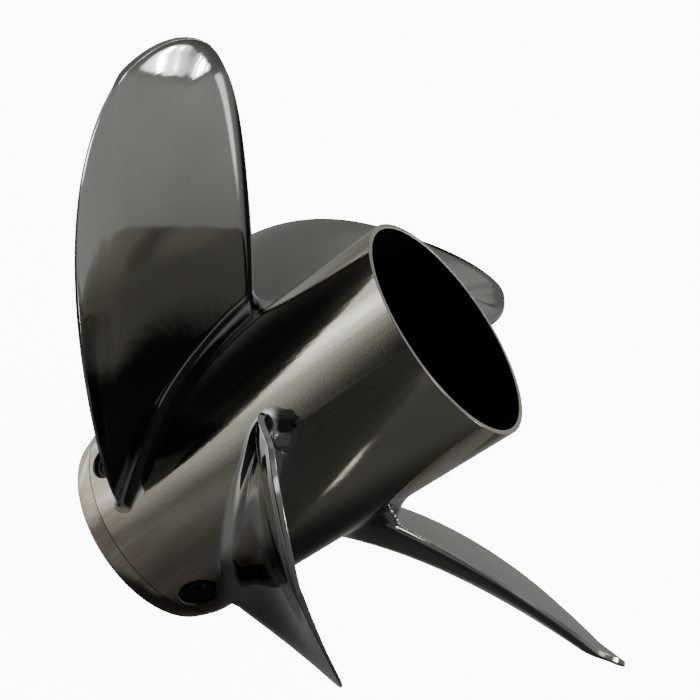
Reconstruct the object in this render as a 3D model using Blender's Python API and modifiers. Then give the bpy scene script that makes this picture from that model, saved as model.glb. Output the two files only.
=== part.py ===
"""A four-bladed stainless outboard propeller with its exhaust through the hub.

Metres, +Z up. It stands on the front rim of its hub: the origin is the centre of that rim, +Z runs
aft along the shaft, and blade 1 starts at +X. It is a left-hand propeller, so a leading edge lies
anticlockwise of its trailing edge seen from aft.
"""

import math

import bmesh
import bpy
from mathutils import Vector

# The hub's outer tube: a short nose, a turned line, then a shallow cone that widens aft
HUB_LENGTH = 0.2009
RIM_RADIUS = 0.0545
GROOVE_HEIGHT = 0.0132
GROOVE_RADIUS = 0.0581
REAR_RADIUS = 0.0595
FRONT_BORE = 0.0490
REAR_BORE = 0.0569
FRONT_ROUND = 0.0022
REAR_ROUND = 0.0008
GROOVE_HALF = 0.0003
GROOVE_DEPTH = 0.0004
HUB_STEPS = 72

# Blades
BLADES = 4
TIP_RADIUS = 0.1908
HALF_ANGLE = (37.9, 19.8, -28.5, 21.6)  # degrees of chord each side of the middle, by powers of the span
SKEW = 25.2  # degrees that the tip trails the root
SKEW_POWER = 1.57
ROOT_PITCH = 0.421
TIP_PITCH = 0.4825
ROOT_HEIGHT = 0.0705
RAKE = 0.0807
RAKE_EASE = 0.0190
CAMBER = (0.0032, 0.0017, 0.0049)  # the bulge forward, by powers of the span
CUP_WIDTH = 0.0085  # the trailing edge and the tip are bent aft over this much
CUP_RISE = 0.0014
TRAILING_THICKNESS = 0.0029
LEADING_THICKNESS = 0.0014
LEADING_CORNER = (0.22, 0.34)  # where, across the blade near its tip, the thin leading edge begins
BLADE_LENGTH = 0.150  # rough length and width of a blade, which turn shares of it into metres
MIDDLE_THICKNESS = 0.0036
ROOT_THICKENING = 0.0075
THICKENING_POWER = 2.2
FILLET = 0.0085
FILLET_LEAST_RISE = 0.00035
FILLET_WRAP = 0.6  # the fillet round the root's two ends, as a share of that on its sides
ROOT_SINK = 0.002  # how far below the hub's surface a blade is drawn before it is trimmed
CHORD_STATIONS = (0.0, 0.2, 0.4, 0.6, 0.78, 0.92, 0.985, 1.0)
FILLET_RISES = (0.0003, 0.0012, 0.003, 0.006)
SLOPE_STEP = 0.004  # share of the span or chord over which the surface's slope is taken
FIRST_ARC = 15  # degrees: the outline runs as sine squared from the root to the tip
LAST_ARC = 83
ARC_ROWS = 14

# Inner hub, ribs and drive
SEAM = 0.0003
INNER_HUB_SPAN = (0.012, 0.128)
INNER_HUB_RADII = (0.0335, 0.0310)
BORE_RADII = (0.0262, 0.0232)
INNER_HUB_CHAMFER = 0.0012
RIBS = 4
RIB_HALF_THICKNESS = 0.0032
RIB_SPAN = (0.024, 0.118)
RIB_TURN = 56.8  # degrees past a blade's root middle: midway between two vent holes
SLEEVE_SPAN = (0.018, 0.112)
ADAPTER_SPAN = (0.015, 0.122)
ADAPTER_RADIUS = 0.0180
ADAPTER_CHAMFER = 0.0008
SPLINE_TEETH = 15
SPLINE_MAJOR = 0.0150
SPLINE_MINOR = 0.0134
SPLINE_LAND = 0.22  # share of a tooth's pitch that its top or bottom flat takes on each side

# Vent holes near the front rim and the ringed plugs in them
VENT_HEIGHT = 0.0270
VENT_TURN = 11.8  # degrees past a blade's root middle
VENT_RADIUS = 0.0108
VENT_CHAMFER = 0.0008
PLUG_BACK = 0.0050
PLUG_SUNK = 0.0008
PLUG_ORIFICE = 0.0030
PLUG_RING_RADII = (0.0052, 0.0066, 0.0084)
PLUG_RING_DEPTH = 0.0008
PLUG_STEPS = 28

STEEL = (0.30, 0.29, 0.275, 1.0)
BRASS = (0.62, 0.44, 0.17, 1.0)
BLACK_PLASTIC = (0.012, 0.012, 0.013, 1.0)


def clear_scene():
    for obj in list(bpy.data.objects):
        bpy.data.objects.remove(obj, do_unlink=True)


def material(name, colour, roughness, metallic):
    made = bpy.data.materials.new(name)
    made.use_nodes = True
    shader = made.node_tree.nodes["Principled BSDF"]
    shader.inputs["Base Color"].default_value = colour
    shader.inputs["Roughness"].default_value = roughness
    shader.inputs["Metallic"].default_value = metallic
    made.diffuse_color = colour
    return made


def collection(name):
    made = bpy.data.collections.new(name)
    bpy.context.scene.collection.children.link(made)
    return made


def object_of(name, points, faces, look, home):
    """A closed mesh object with its faces turned outward and smooth."""
    mesh = bpy.data.meshes.new(name)
    mesh.from_pydata(points, [], faces)
    if look:
        mesh.materials.append(look)
    work = bmesh.new()
    work.from_mesh(mesh)
    bmesh.ops.recalc_face_normals(work, faces=work.faces)
    for face in work.faces:
        face.smooth = True
    work.to_mesh(mesh)
    work.free()
    made = bpy.data.objects.new(name, mesh)
    home.objects.link(made)
    return made


def turned(name, profile, steps, look, home):
    """Turns a closed profile of (radius, height) points about Z."""
    mesh = bpy.data.meshes.new(name)
    points = [(radius, 0.0, height) for radius, height in profile]
    edges = [(i, (i + 1) % len(points)) for i in range(len(points))]
    mesh.from_pydata(points, edges, [])
    if look:
        mesh.materials.append(look)
    made = bpy.data.objects.new(name, mesh)
    home.objects.link(made)
    screw = made.modifiers.new("turn", "SCREW")
    screw.axis = "Z"
    screw.steps = steps
    screw.render_steps = steps
    screw.use_merge_vertices = True
    screw.merge_threshold = 0.00001
    screw.use_smooth_shade = True
    return made


def cutter_look(obj):
    obj.display_type = "WIRE"
    obj.hide_render = True
    return obj


def cut(obj, cutter, name):
    boolean = obj.modifiers.new(name, "BOOLEAN")
    boolean.operation = "DIFFERENCE"
    boolean.solver = "EXACT"
    boolean.object = cutter


def round_corner(centre, radius, start, end, count):
    """Points on an arc in the (radius, height) plane, angles in degrees."""
    angles = [math.radians(start + (end - start) * i / count) for i in range(count + 1)]
    return [
        (centre[0] + radius * math.cos(a), centre[1] + radius * math.sin(a)) for a in angles
    ]


def between(low, high, share):
    return low + (high - low) * share


def hub_radius(height):
    """The hub's outer radius at a height above its front rim."""
    if height < GROOVE_HEIGHT:
        return between(RIM_RADIUS, GROOVE_RADIUS, height / GROOVE_HEIGHT)
    share = (height - GROOVE_HEIGHT) / (HUB_LENGTH - GROOVE_HEIGHT)
    return between(GROOVE_RADIUS, REAR_RADIUS, share)


def hub_bore(height):
    """The radius of the hub tube's inner wall."""
    return between(FRONT_BORE, REAR_BORE, height / HUB_LENGTH)


def barrel_profile():
    """Down the outer side from the rear rim to the front rim, then up the inner side."""
    rear = (REAR_RADIUS - REAR_ROUND, HUB_LENGTH - REAR_ROUND)
    front = (hub_radius(FRONT_ROUND) - FRONT_ROUND, FRONT_ROUND)
    groove_top = GROOVE_HEIGHT + GROOVE_HALF
    groove_foot = GROOVE_HEIGHT - GROOVE_HALF
    inner_rear = (hub_bore(HUB_LENGTH) + REAR_ROUND, HUB_LENGTH - REAR_ROUND)
    outer = round_corner(rear, REAR_ROUND, 90, 0, 2)
    outer += [(hub_radius(groove_top), groove_top)]
    outer += [(hub_radius(GROOVE_HEIGHT) - GROOVE_DEPTH, GROOVE_HEIGHT)]
    outer += [(hub_radius(groove_foot), groove_foot)]
    outer += round_corner(front, FRONT_ROUND, 0, -90, 3)
    inner = [(hub_bore(0) + REAR_ROUND, 0.0), (hub_bore(REAR_ROUND), REAR_ROUND)]
    inner += round_corner(inner_rear, REAR_ROUND, 180, 90, 2)
    return outer + inner


def powers(terms, share):
    return sum(term * share**power for power, term in enumerate(terms))


def smooth_step(value, low, high):
    share = min(max((value - low) / (high - low), 0.0), 1.0)
    return share * share * (3 - 2 * share)


def blade_camber(share):
    return powers(CAMBER, share) * (1 - share**3)


def blade_middle(share, chord):
    """(angle, height, radius) on the blade's middle surface. share runs from the hub to the tip,
    and chord from -1 at the trailing edge to 1 at the leading edge."""
    middle = -SKEW * max(share, 0) ** SKEW_POWER
    half = powers(HALF_ANGLE, share) * math.sqrt(max(1 - share, 0))
    angle = math.radians(middle + chord * half)
    pitch = between(ROOT_PITCH, TIP_PITCH, share)
    height = ROOT_HEIGHT + RAKE * share - RAKE_EASE * share**2
    height -= pitch * angle / math.tau + blade_camber(share) * (1 - chord**2)
    radius = between(hub_radius(height), TIP_RADIUS, share)
    return angle, height, radius


def in_space(angle, height, radius):
    return Vector((radius * math.cos(angle), radius * math.sin(angle), height))


def leading_share(share, chord):
    """1 along the leading edge, 0 round the tip and along the trailing edge."""
    return smooth_step(chord * math.sqrt(max(1 - share, 0)), *LEADING_CORNER)


def blade_thickness(share, chord):
    middle = MIDDLE_THICKNESS + ROOT_THICKENING * max(1 - share, 0) ** THICKENING_POWER
    if abs(chord) >= 1:
        return 0.0
    edge = between(TRAILING_THICKNESS, LEADING_THICKNESS, leading_share(share, chord))
    return between(edge, middle, 1 - chord**2)


def blade_cup(share, chord):
    """How far aft the cupped edge stands from the plain surface."""
    inside = max((1 - share) * (1 - chord**2), 0)
    steepness = math.sqrt(4 * chord**2 * max(1 - share, 0) + 1) / BLADE_LENGTH
    bend = max(1 - inside / steepness / CUP_WIDTH, 0) ** 2
    return CUP_RISE * bend * (1 - leading_share(share, chord)) * smooth_step(share, 0, 0.1)


def fillet_flare(rise):
    """How far the root's fillet stands out from the blade at a rise above the hub."""
    rise = max(rise, FILLET_LEAST_RISE)
    if rise >= FILLET:
        return 0.0
    return FILLET - math.sqrt(FILLET**2 - (FILLET - rise) ** 2)


def blade_row(share, rise):
    """The closed section of a blade at one share of its span: the aft face, then the forward one."""
    chords = [-c for c in reversed(CHORD_STATIONS)] + list(CHORD_STATIONS[1:])
    flare = fillet_flare(rise)
    faces = {1: [], -1: []}
    for chord in chords:
        angle, height, radius = blade_middle(share, chord)
        here = in_space(angle, height, radius)
        along = in_space(*blade_middle(share, chord + SLOPE_STEP)) - here
        across = in_space(*blade_middle(share + SLOPE_STEP, chord)) - here
        normal = along.cross(across).normalized()
        if normal.z < 0:
            normal = -normal
        turn = normal.dot(Vector((-math.sin(angle), math.cos(angle), 0)))
        size = turn**2 + normal.z**2
        half = blade_thickness(share, chord) / 2 + flare * math.sqrt(1 - chord**4)
        ahead = chord**5 * flare * FILLET_WRAP
        for side in faces:
            shift = (side * half + blade_cup(share, chord)) / size
            turned_by = (shift * turn + ahead * normal.z) / radius
            lifted = shift * normal.z - ahead * turn
            faces[side].append(in_space(angle + turned_by, height + lifted, radius))
    # The two faces share the points on the leading and trailing edges.
    return faces[1] + faces[-1][-2:0:-1]


def blade(number, look, home, clearance):
    rows = []
    span = TIP_RADIUS - (GROOVE_RADIUS + REAR_RADIUS) / 2
    rows.append(blade_row(-ROOT_SINK / span, 0.0))
    for rise in FILLET_RISES:
        rows.append(blade_row(rise / span, rise))
    for i in range(ARC_ROWS):
        arc = math.radians(FIRST_ARC + (LAST_ARC - FIRST_ARC) * i / (ARC_ROWS - 1))
        share = math.sin(arc) ** 2
        rows.append(blade_row(share, share * span))
    tip = in_space(*blade_middle(1, 0))
    around = len(rows[0])
    points = [p for row in rows for p in row] + [tip]
    faces = [tuple(range(around))]
    for i in range(len(rows) - 1):
        for k in range(around):
            low, high = i * around, (i + 1) * around
            after = (k + 1) % around
            faces.append((low + k, low + after, high + after, high + k))
    last = (len(rows) - 1) * around
    for k in range(around):
        faces.append((last + k, last + (k + 1) % around, len(points) - 1))
    made = object_of(f"blade_{number}", points, faces, look, home)
    made.rotation_euler.z = math.tau * (number - 1) / BLADES
    cut(made, clearance, "trim to the hub")
    return made


def inner_hub(look, home):
    low, high = INNER_HUB_SPAN
    outer_low, outer_high = INNER_HUB_RADII
    bore_low, bore_high = BORE_RADII
    edge = INNER_HUB_CHAMFER
    profile = [
        (outer_high - edge, high),
        (outer_high, high - edge),
        (outer_low, low + edge),
        (outer_low - edge, low),
        (bore_low + edge, low),
        (bore_low, low + edge),
        (bore_high, high - edge),
        (bore_high + edge, high),
    ]
    return turned("inner_hub", profile, HUB_STEPS, look, home)


def inner_hub_radius(height):
    (low, high), (outer_low, outer_high) = INNER_HUB_SPAN, INNER_HUB_RADII
    share = (height - low - INNER_HUB_CHAMFER) / (high - low - 2 * INNER_HUB_CHAMFER)
    return outer_low + (outer_high - outer_low) * share


def rib(number, look, home):
    """A web from the inner hub out to the hub tube, between two vent holes."""
    points = []
    sides = (-1, -0.5, 0, 0.5, 1)
    for height in RIB_SPAN:
        inner = inner_hub_radius(height) + SEAM
        outer = hub_bore(height) - SEAM
        for radius, order in ((inner, sides), (outer, reversed(sides))):
            for side in order:
                y = side * RIB_HALF_THICKNESS
                points.append((math.sqrt(radius**2 - y**2), y, height))
    around = 2 * len(sides)
    faces = [tuple(range(around)), tuple(range(around, 2 * around))]
    for k in range(around):
        after = (k + 1) % around
        faces.append((k, after, around + after, around + k))
    made = object_of(f"rib_{number}", points, faces, look, home)
    made.rotation_euler.z = math.radians(RIB_TURN + 360 * (number - 1) / RIBS)
    return made


def drive_sleeve(look, home):
    low, high = SLEEVE_SPAN
    edge = ADAPTER_CHAMFER
    share = [(h - INNER_HUB_SPAN[0]) / (INNER_HUB_SPAN[1] - INNER_HUB_SPAN[0]) for h in (low, high)]
    outer = [BORE_RADII[0] + (BORE_RADII[1] - BORE_RADII[0]) * s - 2 * SEAM for s in share]
    inner = ADAPTER_RADIUS + SEAM
    profile = [
        (outer[1] - edge, high),
        (outer[1], high - edge),
        (outer[0], low + edge),
        (outer[0] - edge, low),
        (inner, low),
        (inner, high),
    ]
    return turned("drive_sleeve", profile, HUB_STEPS, look, home)


def spline_profile():
    """The splined bore: a flat top and a flat bottom to each tooth."""
    points = []
    for tooth in range(SPLINE_TEETH):
        for radius, at in (
            (SPLINE_MINOR, -SPLINE_LAND),
            (SPLINE_MINOR, SPLINE_LAND),
            (SPLINE_MAJOR, 0.5 - SPLINE_LAND),
            (SPLINE_MAJOR, 0.5 + SPLINE_LAND),
        ):
            angle = math.tau * (tooth + at) / SPLINE_TEETH
            points.append((radius * math.cos(angle), radius * math.sin(angle)))
    return points


def spline_adapter(look, home):
    low, high = ADAPTER_SPAN
    edge = ADAPTER_CHAMFER
    bore = spline_profile()
    around = len(bore)
    outer = [
        (ADAPTER_RADIUS - edge, low),
        (ADAPTER_RADIUS, low + edge),
        (ADAPTER_RADIUS, high - edge),
        (ADAPTER_RADIUS - edge, high),
    ]
    points = [(x, y, low) for x, y in bore]
    for radius, height in outer:
        for x, y in bore:
            angle = math.atan2(y, x)
            points.append((radius * math.cos(angle), radius * math.sin(angle), height))
    points += [(x, y, high) for x, y in bore]
    rings = len(points) // around
    faces = []
    for i in range(rings):
        low_ring, high_ring = i * around, (i + 1) % rings * around
        for k in range(around):
            after = (k + 1) % around
            faces.append((low_ring + k, low_ring + after, high_ring + after, high_ring + k))
    return object_of("spline_adapter", points, faces, look, home)


def place_in_vent(obj, number):
    """Turns an upright piece so that its +Z points out through a vent hole."""
    obj.rotation_euler = (0, math.pi / 2, math.radians(VENT_TURN + 360 * (number - 1) / BLADES))
    obj.location.z = VENT_HEIGHT


def vent_cutter(number, home):
    surface = hub_radius(VENT_HEIGHT)
    beyond = 4 * VENT_CHAMFER
    profile = [
        (0.0, surface + beyond),
        (VENT_RADIUS + VENT_CHAMFER + beyond, surface + beyond),
        (VENT_RADIUS, surface - VENT_CHAMFER),
        (VENT_RADIUS, surface - 3 * PLUG_BACK),
        (0.0, surface - 3 * PLUG_BACK),
    ]
    made = cutter_look(turned(f"vent_cutter_{number}", profile, PLUG_STEPS, None, home))
    place_in_vent(made, number)
    return made


def vent_plug(number, look, home):
    face = hub_radius(VENT_HEIGHT) - PLUG_SUNK - 2 * VENT_CHAMFER
    back = face - PLUG_BACK
    rim = VENT_RADIUS - SEAM
    first, second, third = PLUG_RING_RADII
    low = face - PLUG_RING_DEPTH
    profile = [
        (rim, face),
        (rim, back),
        (PLUG_ORIFICE, back),
        (PLUG_ORIFICE, low),
        (first, low),
        (first, face),
        (second, face),
        (second, low),
        (third, low),
        (third, face),
    ]
    made = turned(f"vent_plug_{number}", profile, PLUG_STEPS, look, home)
    place_in_vent(made, number)
    return made


def main():
    clear_scene()
    home = collection("outboard_propeller")
    cutters = collection("cutters")
    cutters.hide_render = True
    steel = material("polished_steel", STEEL, 0.18, 1.0)
    brass = material("brass", BRASS, 0.3, 1.0)
    plastic = material("black_plastic", BLACK_PLASTIC, 0.45, 0.0)

    barrel = turned("barrel", barrel_profile(), HUB_STEPS, steel, home)
    clearance = [
        (0.0, HUB_LENGTH),
        (REAR_RADIUS + SEAM, HUB_LENGTH),
        (GROOVE_RADIUS + SEAM, GROOVE_HEIGHT),
        (0.0, GROOVE_HEIGHT),
    ]
    trim = cutter_look(turned("hub_clearance", clearance, HUB_STEPS, None, cutters))
    for number in range(1, BLADES + 1):
        blade(number, steel, home, trim)
        cut(barrel, vent_cutter(number, cutters), f"vent {number}")
        vent_plug(number, plastic, home)
    inner_hub(steel, home)
    for number in range(1, RIBS + 1):
        rib(number, steel, home)
    drive_sleeve(plastic, home)
    spline_adapter(brass, home)


main()
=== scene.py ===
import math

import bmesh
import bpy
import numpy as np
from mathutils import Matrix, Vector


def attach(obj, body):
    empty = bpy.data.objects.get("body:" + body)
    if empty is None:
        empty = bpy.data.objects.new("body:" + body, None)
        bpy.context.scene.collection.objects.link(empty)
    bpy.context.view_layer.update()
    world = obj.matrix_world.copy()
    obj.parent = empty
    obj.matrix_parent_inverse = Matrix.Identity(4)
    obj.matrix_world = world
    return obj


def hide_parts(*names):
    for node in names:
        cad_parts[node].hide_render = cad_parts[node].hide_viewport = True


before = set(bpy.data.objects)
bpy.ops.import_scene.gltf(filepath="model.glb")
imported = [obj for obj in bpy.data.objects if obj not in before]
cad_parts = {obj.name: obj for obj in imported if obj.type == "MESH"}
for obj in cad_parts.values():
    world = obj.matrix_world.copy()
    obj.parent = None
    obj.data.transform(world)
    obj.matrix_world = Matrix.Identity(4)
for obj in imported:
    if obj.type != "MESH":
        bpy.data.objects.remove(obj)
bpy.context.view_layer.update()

# %% [markdown]
# # A polished stainless outboard propeller
# The real thing is one investment casting in stainless steel: a wide tube, four blades, and inside
# the tube a smaller hub on four webs. The engine's exhaust leaves through the space between the two.
# A plastic sleeve and a splined brass bush in the inner hub take the propeller shaft.
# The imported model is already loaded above, in metres, with +Z pointing aft along the shaft. Each
# step below makes one piece or one finish, and says why it is made that way.

MM = 0.001

# %% [markdown]
# ## The camera
# The photograph was solved for its camera: the two rims of the tube and the outlines of the four
# blades fix where it stood. The three rows are the camera's right, up and backward directions in the
# propeller's own frame, so the propeller stands upright on its front rim and the camera is the one
# that leans. A camera aimed at a target would be shorter to write, but it couldn't lean. The
# photograph was cropped a little off centre, which the lens shift repeats.

# %% The photograph's camera
PHOTO_WIDTH = 700
FOCAL_PIXELS = 1492
CENTRE_OFFSET = (20, 35)  # pixels that the crop's middle lies right of and above the lens's axis
CAMERA_PLACE = (0.3821, 0.5624, 0.4373)
CAMERA_RIGHT = (-0.6542, 0.0256, 0.7559)
CAMERA_UP = (0.5650, -0.6479, 0.5109)
CAMERA_BACK = (0.5028, 0.7613, 0.4094)

lens = bpy.data.cameras.new("photograph_camera")
lens.sensor_width = 36
lens.lens = FOCAL_PIXELS / PHOTO_WIDTH * lens.sensor_width
lens.shift_x, lens.shift_y = (offset / PHOTO_WIDTH for offset in CENTRE_OFFSET)
camera = bpy.data.objects.new("photograph_camera", lens)
bpy.context.scene.collection.objects.link(camera)
axes = Matrix((CAMERA_RIGHT, CAMERA_UP, CAMERA_BACK)).transposed()
camera.matrix_world = Matrix.Translation(CAMERA_PLACE) @ axes.to_4x4()
bpy.context.scene.camera = camera
print("lens", round(lens.lens, 1), "mm")

# %% [markdown]
# ## Putting a piece into the scene
# Every piece below is made as a list of points and faces. This helper turns them into an object with
# smooth shading and its finish, hangs it on the root body, and hides the solid that it shows in finer
# detail. A polished surface shows every small error in its shading, so the direction that each point
# faces is worked out from the faces around it, counted by their area. Flat faces beside a small
# rounded edge then stay flat in the reflections.

# %% A helper that makes a finished piece
def area_normals(points, faces):
    """The direction that each point faces, from the faces around it, weighted by area."""
    places = np.array(points, float)
    normals = np.zeros_like(places)
    # Crossing two sides of a triangle, or a quad's diagonals, gives its direction times its area.
    for count, ends in ((3, ((0, 1), (0, 2))), (4, ((0, 2), (1, 3)))):
        corners = np.array([f for f in faces if len(f) == count], int)
        if len(corners):
            first, second = (places[corners[:, b]] - places[corners[:, a]] for a, b in ends)
            tilt = np.cross(first, second)
            for k in range(count):
                np.add.at(normals, corners[:, k], tilt)
    lengths = np.linalg.norm(normals, axis=1, keepdims=True)
    return normals / np.maximum(lengths, 1e-12)


def in_scene(name, mesh):
    """A new object in the scene that shows a mesh."""
    made = bpy.data.objects.new(name, mesh)
    bpy.context.scene.collection.objects.link(made)
    return made


def piece(name, points, faces, normals, look, node):
    mesh = bpy.data.meshes.new(name)
    mesh.from_pydata([tuple(p) for p in points], [], [tuple(f) for f in faces])
    mesh.materials.append(look)
    mesh.polygons.foreach_set("use_smooth", [True] * len(mesh.polygons))
    mesh.normals_split_custom_set_from_vertices([tuple(n) for n in normals])
    made = in_scene(name, mesh)
    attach(made, "root")
    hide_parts(node)
    return made


# %% [markdown]
# ## Finishes
# A colour is written as the sRGB hex value that a paint chart would give, and one function turns it
# to the linear values that the renderer works with. Each finish is a small tree of nodes, and one
# helper adds a node, sets what it needs and links what feeds it. A pattern could be scaled by eye,
# but here its scale is worked out from the spacing in millimetres that the real surface has.

# %% Colours and nodes
def linear(hex_colour):
    """An sRGB hex colour such as '#B9B5AC' as linear red, green, blue and alpha."""
    values = [int(hex_colour[i : i + 2], 16) / 255 for i in (1, 3, 5)]
    return [v / 12.92 if v <= 0.04045 else ((v + 0.055) / 1.055) ** 2.4 for v in values] + [1.0]


def add(tree, kind, settings=None, feeds=None):
    """Adds a node. settings holds properties and fixed sockets, feeds holds the sockets linked in."""
    made = tree.nodes.new(kind)
    for key, value in (settings or {}).items():
        if isinstance(key, int) or key in made.inputs:
            made.inputs[key].default_value = value
        else:
            setattr(made, key, value)
    for key, source in (feeds or {}).items():
        tree.links.new(source, made.inputs[key])
    return made


def blank(name):
    """A new material with an empty tree."""
    made = bpy.data.materials.new(name)
    made.use_nodes = True
    made.node_tree.nodes.clear()
    return made, made.node_tree


def every(spacing):
    """The scale of a noise whose grains lie about this many millimetres apart."""
    return 1 / (spacing * MM)


WAVE_TEXTURE_STEP = math.pi / 10  # metres from line to line of a wave texture at scale 1
print("a grain every 1.25 mm is a scale of", round(every(1.25)))

# %% [markdown]
# ### Polished cast stainless steel
# The casting is ground on belts and then buffed until it mirrors what is around it. Buffing leaves
# three things that the eye reads as real metal: hairlines along the direction of work, a slow
# waviness that bends straight reflections, and a faint orange peel of a millimetre or two. All three
# are slopes of the surface, so they are made as bump, while the hairlines also change the roughness
# a little. Real hairlines lie some tenths of a millimetre apart, too close to show here, so they are
# drawn about a millimetre apart, with finer ones between. A blade is buffed to and fro, so its marks
# aren't drawn out. A metal's colour is its reflection, and stainless is slightly warm and darker
# than silver. Near the front the tube's colour is painted browner in long wavy streaks, a painted
# reflection of the warm room and the nearby blade; the streaks are bumped a little too.

# %% Polished cast stainless
HAIRLINE_SPACING = 1.11  # mm across the direction of work
HAIRLINE_DEPTH = 0.00001
WAVE_SPACING = 35.7  # mm, the unevenness of a casting ground by hand
PEEL_SPACING = 1.25
# The painted reflection's warm grey-brown, mixed in near the front of the tube
PAINTED_REFLECTION_COLOUR = "#A49A8E"
REFLECTION_FULL, REFLECTION_GONE = 0.030, 0.105  # heights between which the painted reflection fades out
STREAK_DEPTH = 0.00005
STREAK_SPACING = 4.76  # mm round the tube, and nine times as far along it
STREAK_STRETCH = (1.0, 1.0, 0.11)


def polished_stainless(name, along, colours, roughness, peel_depth, wave_depth, painted_front_streaks=False):
    """along holds how stretched the hairlines are on X, Y and Z: small numbers draw them out."""
    made, tree = blank(name)
    where = add(tree, "ShaderNodeTexCoord").outputs["Object"]
    stretched = add(tree, "ShaderNodeMapping", {"Scale": along}, {"Vector": where})
    hairlines = add(
        tree,
        "ShaderNodeTexNoise",
        {"Scale": every(HAIRLINE_SPACING), "Detail": 3.0, "Roughness": 0.6},
        {"Vector": stretched.outputs["Vector"]},
    )
    waves = add(
        tree,
        "ShaderNodeTexNoise",
        {"Scale": every(WAVE_SPACING), "Detail": 1.0, "Roughness": 0.4},
        {"Vector": where},
    )
    grain = {"Scale": every(PEEL_SPACING), "Detail": 2.0}
    peel = add(tree, "ShaderNodeTexNoise", grain, {"Vector": where})
    reliefs = [(waves, 1.0, wave_depth), (peel, 1.0, peel_depth), (hairlines, 0.3, HAIRLINE_DEPTH)]
    rough = add(
        tree,
        "ShaderNodeMapRange",
        {"From Min": 0.3, "From Max": 0.7, "To Min": roughness * 0.7, "To Max": roughness * 1.5},
        {"Value": hairlines.outputs["Fac"]},
    ).outputs["Result"]
    tint = add(
        tree,
        "ShaderNodeMix",
        {"data_type": "RGBA", 6: linear(colours[0]), 7: linear(colours[1])},
        {0: waves.outputs["Fac"]},
    ).outputs[2]
    # The painted reflection near the front: the colour is mixed towards a warm grey-brown in streaks,
    # and the streaks are also bumped.
    if painted_front_streaks:
        height = add(tree, "ShaderNodeSeparateXYZ", {}, {0: where}).outputs["Z"]
        near_front = add(
            tree,
            "ShaderNodeMapRange",
            {
                "interpolation_type": "SMOOTHSTEP",
                "From Min": REFLECTION_FULL,
                "From Max": REFLECTION_GONE,
                "To Min": 1.0,
                "To Max": 0.0,
            },
            {"Value": height},
        ).outputs["Result"]
        drawn = add(tree, "ShaderNodeMapping", {"Scale": STREAK_STRETCH}, {"Vector": where})
        streaks = add(
            tree,
            "ShaderNodeTexNoise",
            {
                "Scale": every(STREAK_SPACING),
                "Detail": 3.0,
                "Roughness": 0.55,
                "Distortion": 0.9,
            },
            {"Vector": drawn.outputs["Vector"]},
        )
        sharp = add(
            tree,
            "ShaderNodeMapRange",
            {"From Min": 0.36, "From Max": 0.62, "To Min": 0.15, "To Max": 1.0},
            {"Value": streaks.outputs["Fac"]},
        ).outputs["Result"]
        painted_reflection_cover = add(
            tree, "ShaderNodeMath", {"operation": "MULTIPLY"}, {0: near_front, 1: sharp}
        ).outputs["Value"]
        tint = add(
            tree,
            "ShaderNodeMix",
            {"data_type": "RGBA", 7: linear(PAINTED_REFLECTION_COLOUR)},
            {0: painted_reflection_cover, 6: tint},
        ).outputs[2]
        reliefs.append((streaks, 1.0, STREAK_DEPTH))
    # Each relief is laid over the one before it.
    normal = None
    for relief, strength, depth in reliefs:
        bump = {"Strength": strength, "Distance": depth}
        feeds = {"Height": relief.outputs["Fac"]}
        if normal is not None:
            feeds["Normal"] = normal
        normal = add(tree, "ShaderNodeBump", bump, feeds).outputs["Normal"]
    shader = add(
        tree,
        "ShaderNodeBsdfPrincipled",
        {"Metallic": 1.0},
        {"Base Color": tint, "Roughness": rough, "Normal": normal},
    )
    add(tree, "ShaderNodeOutputMaterial", {}, {"Surface": shader.outputs["BSDF"]})
    print(name, "roughness about", roughness)
    return made


hub_steel = polished_stainless(
    "polished_stainless_tube",
    along=(1.0, 1.0, 0.03),
    colours=("#BDBAAE", "#ABA89D"),
    roughness=0.09,
    peel_depth=0.000021,
    wave_depth=0.00010,
    painted_front_streaks=True,
)
blade_steel = polished_stainless(
    "polished_stainless_blade",
    along=(0.5, 0.5, 0.5),
    colours=("#B8B8B4", "#A9A9A5"),
    roughness=0.07,
    peel_depth=0.000003,
    wave_depth=0.00018,
)

# %% [markdown]
# ### Cast skin, painted dark for shade
# Inside the exhaust passage nobody polishes the casting. It keeps the skin that it had from the
# mould, with a grain of about a millimetre. Its near-black colour is painted shade, for the passage
# that little light reaches. It is made as a dark matt solid with hardly any shine.

# %% Cast skin painted dark for shade
SKIN_GRAIN = 1.25  # mm
STAIN_SPACING = 22.2


def painted_shade_skin():
    made, tree = blank("painted_shade_cast_skin")
    where = add(tree, "ShaderNodeTexCoord").outputs["Object"]
    grain = add(
        tree,
        "ShaderNodeTexNoise",
        {"Scale": every(SKIN_GRAIN), "Detail": 4.0, "Roughness": 0.65},
        {"Vector": where},
    )
    spots = {"Scale": every(STAIN_SPACING), "Detail": 3.0}
    stain = add(tree, "ShaderNodeTexNoise", spots, {"Vector": where})
    # Both colours are near black, painted shade for the passage; the stains vary it at random.
    colour = add(
        tree,
        "ShaderNodeMix",
        {"data_type": "RGBA", 6: linear("#100F0E"), 7: linear("#1B1917")},
        {0: stain.outputs["Fac"]},
    )
    relief = {"Strength": 0.6, "Distance": 0.0002}
    bump = add(tree, "ShaderNodeBump", relief, {"Height": grain.outputs["Fac"]})
    shader = add(
        tree,
        "ShaderNodeBsdfPrincipled",
        {"Metallic": 0.0, "Roughness": 0.90, "Specular IOR Level": 0.08},
        {"Base Color": colour.outputs[2], "Normal": bump.outputs["Normal"]},
    )
    add(tree, "ShaderNodeOutputMaterial", {}, {"Surface": shader.outputs["BSDF"]})
    return made


shaded_cast_steel = painted_shade_skin()
print("cast skin grain", SKIN_GRAIN, "mm")

# %% [markdown]
# ### Turned steel
# The rear rim is faced on a lathe, which leaves rings a few tenths of a millimetre apart. They
# scatter light across the cut, so the rim looks pale and matt beside the mirror of the tube. They
# could be cut into the mesh, but they are too fine to tell apart, so bump and a high roughness do
# it.

# %% Turned steel
RING_SPACING = 0.524  # mm


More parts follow.
